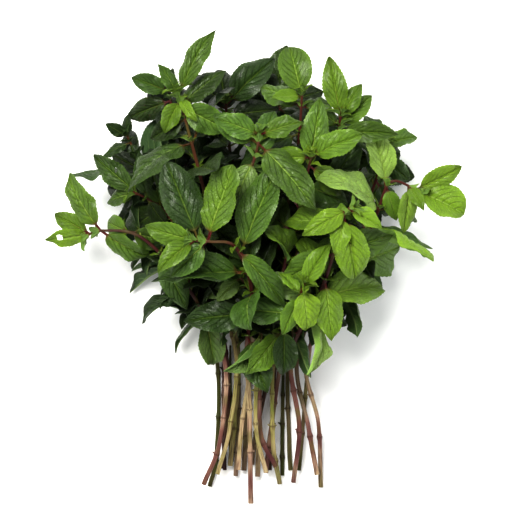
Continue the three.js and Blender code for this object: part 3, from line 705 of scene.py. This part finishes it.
def relief(habit, side, inBlade, place):  # the quilting, the midrib's groove, the waves and the curled tip
    outward, scale = abs(side), habit["scale"]
    arch = sin(pi * min(1, inBlade)) ** 0.5
    bend = blades["veinLean"] * outward + blades["veinCurve"] * outward ** 2
    phase = (inBlade - bend) * blades["veinPairs"] + copysign(blades["veinStagger"], side)
    panel = abs(sin(pi * phase)) ** 0.7 * min(1, outward / 0.15) * (1 - outward ** 3)
    lift = blades["panelLift"] * scale * panel * arch
    lift -= blades["ribDepth"] * scale * exp(-(outward / blades["grooveWidth"]) ** 2) * arch
    half = 0 if side > 0 else 1
    slow, quick = blades["wavesAlong"]
    wave = sin(2 * pi * slow * inBlade + habit["phases"][half])
    wave += 0.5 * sin(2 * pi * quick * inBlade + habit["phases"][2 + half])
    lift += habit["crumple"] * arch * field.noise(place / blades["crumpleSize"])
    curled = max(0, (inBlade - blades["curlFrom"]) / (1 - blades["curlFrom"])) ** 2
    return lift + habit["waves"] * outward ** 2 * wave * arch - habit["tipCurl"] * curled


def addBlade(form, layers, leaf, look, random, isCoarse=False):
    columns = blades["smallColumns"]
    if leaf["length"] < blades["tinyLength"]:
        columns = blades["tinyColumns"]
    elif leaf["length"] > blades["largeLength"] and not isCoarse:
        columns = blades["columns"]
    rowLength = blades["coarseRowLength"] if isCoarse else blades["rowLength"]
    bladeRows = max(4, 2 * round(leaf["length"] * (1 - petiole) / rowLength / 2))
    petioleRows = blades["petioleRows"]
    rows = petioleRows + bladeRows
    habit = bladeHabit(leaf, random)
    scale = habit["scale"]
    grid = bmesh.ops.create_grid(form, x_segments=columns, y_segments=rows, size=0.5)
    frames = {}
    for vertex in grid["verts"]:
        row = round((vertex.co.y + 0.5) * rows)
        side = copysign(abs(2 * vertex.co.x) ** blades["columnSpread"], vertex.co.x)
        outward = abs(side)
        inBlade = max(0, row - petioleRows) / bladeRows
        share = petiole * min(1, row / petioleRows) + (1 - petiole) * inBlade
        if row not in frames:
            frames[row] = (*leafFrame(leaf, share), halfWidth(leaf, share))
        point, sideways, normal, half = frames[row]
        reach = half * side
        fold = sin(leaf["fold"]) * (blades["foldAtRib"] - blades["foldEasing"] * outward)
        lift = half * outward * (fold + habit["margin"] * outward ** 2)
        if inBlade > 0:
            if (row - petioleRows) % 2 and not isCoarse:
                edge = outward ** blades["toothEdge"] * sin(pi * inBlade) ** 0.4
                reach += copysign(blades["tooth"] * edge * (0.4 + 0.6 * scale), side)
            lift += relief(habit, side, inBlade, point + sideways * reach)
        place = point + sideways * reach * cos(leaf["fold"]) + normal * lift
        rib = exp(-(outward / blades["ribWidth"]) ** 2) * (1 - inBlade) ** 0.7
        thickness = between(blades["thickness"], blades["ribThickness"] * scale, rib)
        if inBlade <= 0:
            thickness = blades["ribThickness"] * (0.3 + 0.7 * scale)
        place.z = max(place.z, thickness + blades["tableGap"])
        vertex.co = place * mm
        vertex[layers["look"]] = (*look, 1)
        vertex[layers["thickness"]][0] = min(1, thickness / blades["ribThickness"])
        for loop in vertex.link_loops:
            loop[layers["uv"]].uv = (side / 2 + 0.5, share)
    return grid["verts"]


bites = {"chance": 0.2, "leastLength": 30, "along": (0.35, 0.5), "aside": (-1.1, 2.2), "size": (1.3, 2.2)}


def bite(form, vertices, leaf, random):  # a hole or a torn edge, where something fed on the leaf
    share, side = drawn(random, bites["along"]), drawn(random, bites["aside"])
    point, sideways, _ = leafFrame(leaf, share)
    centre = (point + sideways * side * halfWidth(leaf, share)) * mm
    size = drawn(random, bites["size"]) * mm
    faces = {face for vertex in vertices for face in vertex.link_faces}
    eaten = [face for face in faces if (face.calc_center_median() - centre).length < size]
    bmesh.ops.delete(form, geom=eaten, context="FACES")


# Leaves that are too small or lie too deep for the frame: pairs in the axils and at the tip, and old leaves
# down inside the bunch
axil = {"length": 11, "size": (0.45, 0.8), "opening": (30, 16), "turn": (35, 30), "pairSize": (0.8, 0.3)}
tip = {
    "pairs": 3, "length": 7, "growth": 3, "turn": (0, 30), "opening": 16, "opened": 17, "start": 0.6,
    "step": 1.2,
}
# the inner leaves are old ones, and their near-black colour is also painted shade deep in the bunch
inner = {
    "from": 34, "to": 175, "step": 9, "length": 40, "size": (0.7, 0.5), "opening": (30, 55), "turn": 9,
    "fold": (0.2, 0.4), "width": 0.46, "widest": 92, "ys": (-42, 128), "heights": (3, 62),
}


def smallLeaf(sprig, distance, turn, opening, length, random, fold=0.6, width=0.48):
    point, along = placeAt(sprig, distance)
    outward = outwardFrom(along, turn)
    direction = along * cos(opening) + outward * sin(opening)
    normal = squareTo(along * sin(opening) - outward, direction)
    return {
        "root": point, "along": direction, "normal": normal, "distance": distance, "length": length,
        "width": width * length, "fall": growth["outlineFall"], "bend": 0.3 + 0.7 * next(random),
        "twist": next(random) - 0.5, "fold": fold,
    }


def axilLeaves(sprig, random):
    leaves = []
    for leaf in sprig["leaves"]:
        _, along = placeAt(sprig, leaf["distance"])
        level, rising = across(along)
        turn = atan2(leaf["along"].dot(rising), leaf["along"].dot(level))
        length = axil["length"] * drawn(random, axil["size"])
        for side in (-1, 1):
            opening = radians(drawn(random, axil["opening"]))
            swung = turn + side * radians(drawn(random, axil["turn"]))
            size = length * drawn(random, axil["pairSize"])
            leaves.append(smallLeaf(sprig, leaf["distance"], swung, opening, size, random))
    return leaves


def tipLeaves(sprig, random):
    leaves = []
    for pair in range(tip["pairs"]):
        length, distance = tip["length"] + tip["growth"] * pair, tip["start"] + tip["step"] * pair
        for side in (0, 180):
            turn = radians(sprig["roll"] + 90 * pair + side + drawn(random, tip["turn"]))
            opening = radians(tip["opening"] + tip["opened"] * pair)
            leaves.append(smallLeaf(sprig, distance, turn, opening, length, random))
    return leaves


def liesInside(leaf):
    ends = [leafFrame(leaf, share)[0] for share in (0.5, 1)]
    (near, far), (low, high) = inner["ys"], inner["heights"]
    return all(abs(end.x) < inner["widest"] and near < end.y < far and low < end.z < high for end in ends)


def innerLeaves(sprig, random):
    leaves, distance = [], inner["from"]
    while distance < min(inner["to"], sprig["length"]):
        for side in (0, 180):
            turn = radians(sprig["roll"] + inner["turn"] * distance + side)
            opening = radians(drawn(random, inner["opening"]))
            size = inner["length"] * drawn(random, inner["size"])
            fold = drawn(random, inner["fold"])
            leaf = smallLeaf(sprig, distance, turn, opening, size, random, fold, inner["width"])
            if liesInside(leaf):
                leaves.append(leaf)
        distance += inner["step"]
    return leaves


# A leaf's look is its age, lowered as painted shade under other leaves, its stalk's redness, and a seed:
# a low one is bluish and wet, a high one has a painted pale sheen
ageing = {
    "atTip": 0.2, "tipReach": 16, "small": 0.16, "smallLength": 24, "base": 0.06, "shadePerCover": 0.08,
    "mostCovers": 4, "coverHeight": 7, "coverReach": 20, "spread": 0.24, "setSpread": 0.05,
    "young": 0.62, "sprigShare": 0.3, "youngSpread": 0.2, "inner": 0.1, "innerTone": 0.3,
}
leafMiddles = [leafFrame(leaf, 0.55)[0] for sprig in sprigs for leaf in sprig["leaves"]]


def coverOf(leaf):  # how many other leaves lie over this one
    middle = leafFrame(leaf, 0.55)[0]
    above = [other - middle for other in leafMiddles if other.z > middle.z + ageing["coverHeight"]]
    return sum(1 for apart in above if apart.xy.length < ageing["coverReach"])


def lookOf(sprig, leaf, random):
    age = sprig["age"] + ageing["atTip"] * max(0, 1 - leaf["distance"] / ageing["tipReach"])
    age += ageing["small"] * (leaf["length"] < ageing["smallLength"])
    # painted shade: the age, and so the colour, drops for each leaf that lies over this one
    age += ageing["base"] - ageing["shadePerCover"] * min(ageing["mostCovers"], coverOf(leaf))
    age = leaf.get("age") or age
    age += ageing["setSpread" if "age" in leaf else "spread"] * (next(random) - 0.5)
    tone, seed = min(1, 0.8 * sprig["bark"] + 0.4 * next(random)), next(random)
    if "age" in leaf:
        seed = 0.2 if leaf["age"] < 0.3 else 0.9 if leaf["age"] > 0.9 else 0.3 + 0.45 * seed
    return min(1, max(0, age)), tone, seed


def makeLeaves(sprig, index):
    form = bmesh.new()
    layers = {
        "look": form.verts.layers.float_color.new("leafLook"),
        "thickness": form.verts.layers.deform.new(),
        "uv": form.loops.layers.uv.new("leafMap"),
    }
    random = randomFrom(chance["leafSeed"] + chance["leafStep"] * index)
    for leaf in sprig["leaves"]:
        vertices = addBlade(form, layers, leaf, lookOf(sprig, leaf, random), random)
        isBitten = next(random) < bites["chance"] and leaf["length"] > bites["leastLength"]
        if isBitten and "age" not in leaf:
            bite(form, vertices, leaf, random)
    for leaf in innerLeaves(sprig, random):
        # painted shade: leaves deep inside the bunch get the darkest colour
        look = (ageing["inner"] * next(random), ageing["innerTone"], next(random))
        addBlade(form, layers, leaf, look, random, isCoarse=True)
    young = sprig.get("tips", ageing["young"] + ageing["sprigShare"] * sprig["age"])
    for leaf in axilLeaves(sprig, random) + tipLeaves(sprig, random):
        age = min(1, young + ageing["youngSpread"] * (next(random) - 0.5))
        addBlade(form, layers, leaf, (age, next(random), 0.5), random)
    piece = newPiece(sprig["node"] + "_leaves", form, leafMaterial, undersideMaterial)
    piece.vertex_groups.new(name="thickness")
    solid = piece.modifiers.new("thickness", "SOLIDIFY")
    solid.thickness = blades["ribThickness"] * mm
    solid.vertex_group = "thickness"
    solid.offset = -1
    solid.material_offset = 1
    finished = bpy.data.meshes.new_from_object(piece.evaluated_get(bpy.context.evaluated_depsgraph_get()))
    piece.modifiers.clear()
    piece.data = finished
    smooth(finished, blades["sharpAngle"])
    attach(piece, "root")
    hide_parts(sprig["node"])


# Stems

stems = {
    "around": 16, "stepLength": 1.3, "corner": 0.13, "nodeSwell": 0.3, "nodeLength": 2.2, "ringSwell": 0.12,
    "ringLength": 0.7, "leafSwell": 0.12, "leafNodeLength": 2, "lying": 0.9, "stubLength": 1.5,
    "stubRadius": 0.7, "stubSides": 7, "stubbed": 0.55, "cutInset": 0.3, "pithInset": 0.35, "pithDepth": 0.5,
    "woodyLength": 240, "mapLength": 40, "sharpAngle": 45,
}
stemPaint = {
    "low": [
        (0, (0.12, 0.15, 0.022)), (0.25, (0.265, 0.24, 0.09)), (0.45, (0.39, 0.31, 0.18)),
        (0.6, (0.38, 0.265, 0.19)), (0.75, (0.19, 0.088, 0.07)), (0.95, (0.065, 0.014, 0.02)),
    ],
    "high": [(0, (0.11, 0.055, 0.014)), (0.4, (0.085, 0.018, 0.012)), (1, (0.04, 0.006, 0.01))],
    "green": (0.11, 0.12, 0.02), "streak": (0.07, 0.026, 0.014), "scar": (0.05, 0.022, 0.01),
    "shadeBelow": (0.3, 0.27, 0.25), "streaks": (14, 3, 1), "mottleScale": 55, "patchScale": 22,
    "relief": 0.0004, "specular": 0.3,
}
cutPaint = {
    "fibres": [(0.3, (0.42, 0.38, 0.17)), (0.7, (0.68, 0.64, 0.4))], "fibreScale": 1400,
    "relief": 0.0002, "roughness": 0.7,
}


def makeStemMaterial():
    material, tree, shader = newMaterial("mint stem")
    reach, mark, bark = parts(tree, "stemLook")
    place = place3d(tree)
    mapped = addNode(tree, "UVMap", {}).outputs[0]
    stretched = addNode(tree, "Mapping", {"Vector": mapped, "Scale": stemPaint["streaks"]})
    streaks = noise(tree, stretched.outputs[0], 1, 4, 0.6)
    mottle = noise(tree, place, stemPaint["mottleScale"], 3)
    patches = noise(tree, place, stemPaint["patchScale"], 2)
    patched = varied(tree, bark, patches, 1.1)
    low, high = ramp(tree, patched, stemPaint["low"]), ramp(tree, patched, stemPaint["high"])
    mixed = varied(tree, reach, mottle, 0.2)
    colour = layered(
        tree, high, (fade(tree, mixed, 0.4, 0.72), low),
        (fade(tree, mottle, 0.5, 0.72, 0, 0.55), stemPaint["green"]),
        (fade(tree, streaks, 0.46, 0.66, 0, 0.75), stemPaint["streak"]),
        (fade(tree, mark, 0.35, 1, 0, 0.65), stemPaint["scar"]),
    )
    # painted shade: the stem colour is darkened close to the table
    height = addNode(tree, "SeparateXYZ", {0: place}).outputs[2]
    shaded = blendColours(tree, 1, colour, stemPaint["shadeBelow"], "MULTIPLY")
    feed(tree, shader, {
        "Base Color": layered(tree, colour, (fade(tree, height, 0.003, 0.02, 0.85, 0), shaded)),
        "Roughness": calc(tree, "MULTIPLY_ADD", streaks, 0.3, 0.32),
        "Normal": bump(tree, streaks, stemPaint["relief"], 0.7), "Specular IOR Level": stemPaint["specular"],
    })
    return material


def makeCutMaterial():
    material, tree, shader = newMaterial("cut stem end")
    fibres = noise(tree, place3d(tree), cutPaint["fibreScale"], 3)
    feed(tree, shader, {
        "Base Color": ramp(tree, fibres, cutPaint["fibres"]), "Roughness": cutPaint["roughness"],
        "Normal": bump(tree, fibres, cutPaint["relief"], 0.6),
    })
    return material


def nearness(distance, nodes, length):  # 1 at a node, falling to 0 over the length
    return max([exp(-((distance - node) / length) ** 2) for node in nodes] + [0])


def makeStem(sprig, index):
    random = randomFrom(chance["stemSeed"] + chance["stemStep"] * index)
    form = bmesh.new()
    look = form.verts.layers.float_color.new("stemLook")
    uv = form.loops.layers.uv.new("stemMap")
    around, rows = stems["around"], round(sprig["length"] / stems["stepLength"])
    grid = bmesh.ops.create_grid(form, x_segments=around, y_segments=rows, size=0.5)
    bareNodes = sprig["bareNodes"]
    leafNodes = sprig["leafyNodes"] + sorted({aim[0] for aim in sprig["aims"]})
    wobble, *_ = [next(random) for _ in range(3)]
    for vertex in grid["verts"]:
        turn = 2 * pi * (vertex.co.x + 0.5)
        distance = sprig["length"] * (0.5 - vertex.co.y)
        point, along = placeAt(sprig, distance)
        bare = nearness(distance, bareNodes, stems["nodeLength"])
        ring = nearness(distance, bareNodes, stems["ringLength"])
        leafy = nearness(distance, leafNodes, stems["leafNodeLength"])
        radius = stemRadius(sprig, distance) * (0.97 + 0.05 * sin(distance / 17 + 6 * wobble))
        swollen = stems["nodeSwell"] * bare + stems["ringSwell"] * ring
        radius *= 1 + swollen + stems["leafSwell"] * leafy
        point.z = max(point.z, stems["lying"] * radius)
        radius *= 1 + stems["corner"] * cos(4 * turn + pi) * (1 - 0.6 * bare)
        place = point + outwardFrom(along, turn) * radius
        place.z = max(place.z, 0.01)
        vertex.co = place * mm
        reach = min(1, max(0, 1 - (sprig["length"] - distance) / stems["woodyLength"]))
        vertex[look] = (reach, min(1, 1.3 * ring + 0.25 * bare), sprig["bark"], 1)
        for loop in vertex.link_loops:
            loop[uv].uv = (turn / (2 * pi), distance / stems["mapLength"])
    bmesh.ops.remove_doubles(form, verts=form.verts, dist=0.01 * mm)
    openEdges = [edge for edge in form.edges if edge.is_boundary]
    ends = bmesh.ops.holes_fill(form, edges=openEdges, sides=0)["faces"]
    cutPoint = sprig["line"][-1][0] * mm
    cutFace = min(ends, key=lambda face: (face.calc_center_median() - cutPoint).length)
    cutFace.material_index = 1
    inset, pithInset, pithDepth = (stems[key] * mm for key in ("cutInset", "pithInset", "pithDepth"))
    bmesh.ops.inset_individual(form, faces=[cutFace], thickness=inset)
    bmesh.ops.inset_individual(form, faces=[cutFace], thickness=pithInset, depth=-pithDepth)
    for i, distance in enumerate(bareNodes):
        addStubs(form, look, sprig, distance, i, random)
    bmesh.ops.recalc_face_normals(form, faces=form.faces)
    piece = newPiece(sprig["node"] + "_stem", form, stemMaterial, cutMaterial)
    smooth(piece.data, stems["sharpAngle"])
    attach(piece, "root")
    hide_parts(sprig["node"])


def addStubs(form, look, sprig, distance, quarter, random):  # what is left of the leaves stripped off
    point, along = placeAt(sprig, distance)
    radius = stemRadius(sprig, distance)
    point.z = max(point.z, stems["lying"] * radius)
    for side in (0, 180):
        if next(random) > stems["stubbed"]:
            continue
        turn = radians(sprig["roll"] + 90 * quarter + side)
        outward = outwardFrom(along, turn)
        length = stems["stubLength"] * (0.4 + 0.9 * next(random))
        direction = (outward + 0.7 * along * next(random)).normalized()
        centre = point + outward * radius * 0.9 + direction * length / 2
        if centre.z < length / 2 + 0.4:
            continue
        matrix = Matrix.Translation(centre * mm) @ direction.to_track_quat("Z", "Y").to_matrix().to_4x4()
        stub = bmesh.ops.create_cone(
            form, cap_ends=True, segments=stems["stubSides"], radius1=stems["stubRadius"] * mm,
            radius2=0.6 * stems["stubRadius"] * mm, depth=(length + 0.8) * mm, matrix=matrix,
        )
        for vertex in stub["verts"]:
            vertex[look] = (1, 0.2 + 0.5 * next(random), sprig["bark"], 1)


leafMaterial, undersideMaterial = makeLeafMaterial(), makeUndersideMaterial()
stemMaterial, cutMaterial = makeStemMaterial(), makeCutMaterial()
for index, sprig in enumerate(sprigs):
    makeStem(sprig, index)
    if sprig["leaves"]:
        makeLeaves(sprig, index)
print("sprigs and bare stems made:", len(sprigs))


# The table, the lights and the camera

studio = {
    "floorSize": 6, "floorColour": (0.94, 0.94, 0.94), "floorSpecular": 0.2, "grainScale": 60,
    "worldLight": 0.26, "cameraHeight": 1.4, "cameraPlace": (0.0014, 0.0107), "lens": 134.6,
    "sensor": 36, "exposure": 0.7, "gamma": 0.73,
}
lights = {  # place, size, power and colour
    "key": ((-0.42, 0.66, 1.5), 0.8, 27, (1, 0.985, 0.95)),
    "right": ((1.5, 0.2, 0.7), 1.2, 9, (0.95, 0.98, 1)),
    "left": ((-1.5, -0.2, 0.6), 1.2, 6, (1, 1, 1)),
    "front": ((0.1, -1.5, 0.7), 1.2, 9, (1, 1, 1)),
    "back": ((0, 1.6, 0.5), 1.2, 5, (1, 1, 1)),
}


def makeFloor():
    material, tree, shader = newMaterial("table top")
    grain = noise(tree, place3d(tree), studio["grainScale"], 4)
    feed(tree, shader, {
        "Base Color": (*studio["floorColour"], 1), "Specular IOR Level": studio["floorSpecular"],
        "Roughness": calc(tree, "MULTIPLY_ADD", grain, 0.1, 0.55),
    })
    form = bmesh.new()
    bmesh.ops.create_grid(form, x_segments=1, y_segments=1, size=studio["floorSize"] / 2)
    floor = newPiece("table_top", form, material)


makeFloor()
scene = bpy.context.scene
for name, (place, size, power, colour) in lights.items():
    light = bpy.data.lights.new(name, "AREA")
    light.size, light.energy, light.color = size, power, colour
    lamp = bpy.data.objects.new(name, light)
    lamp.location = place
    lamp.rotation_euler = (-Vector(place)).to_track_quat("-Z", "Y").to_euler()
    scene.collection.objects.link(lamp)
world = bpy.data.worlds.new("studio")
world.use_nodes = True
background = {"Color": (1, 1, 1, 1), "Strength": studio["worldLight"]}
feed(world.node_tree, world.node_tree.nodes["Background"], background)
scene.world = world
view = scene.view_settings
view.view_transform = "Standard"
view.exposure, view.gamma = studio["exposure"], studio["gamma"]

lens = bpy.data.cameras.new("camera")
lens.lens, lens.sensor_width = studio["lens"], studio["sensor"]
camera = bpy.data.objects.new("camera", lens)
camera.location = (*studio["cameraPlace"], studio["cameraHeight"])
scene.collection.objects.link(camera)
scene.camera = camera
print("table, lights and camera placed")
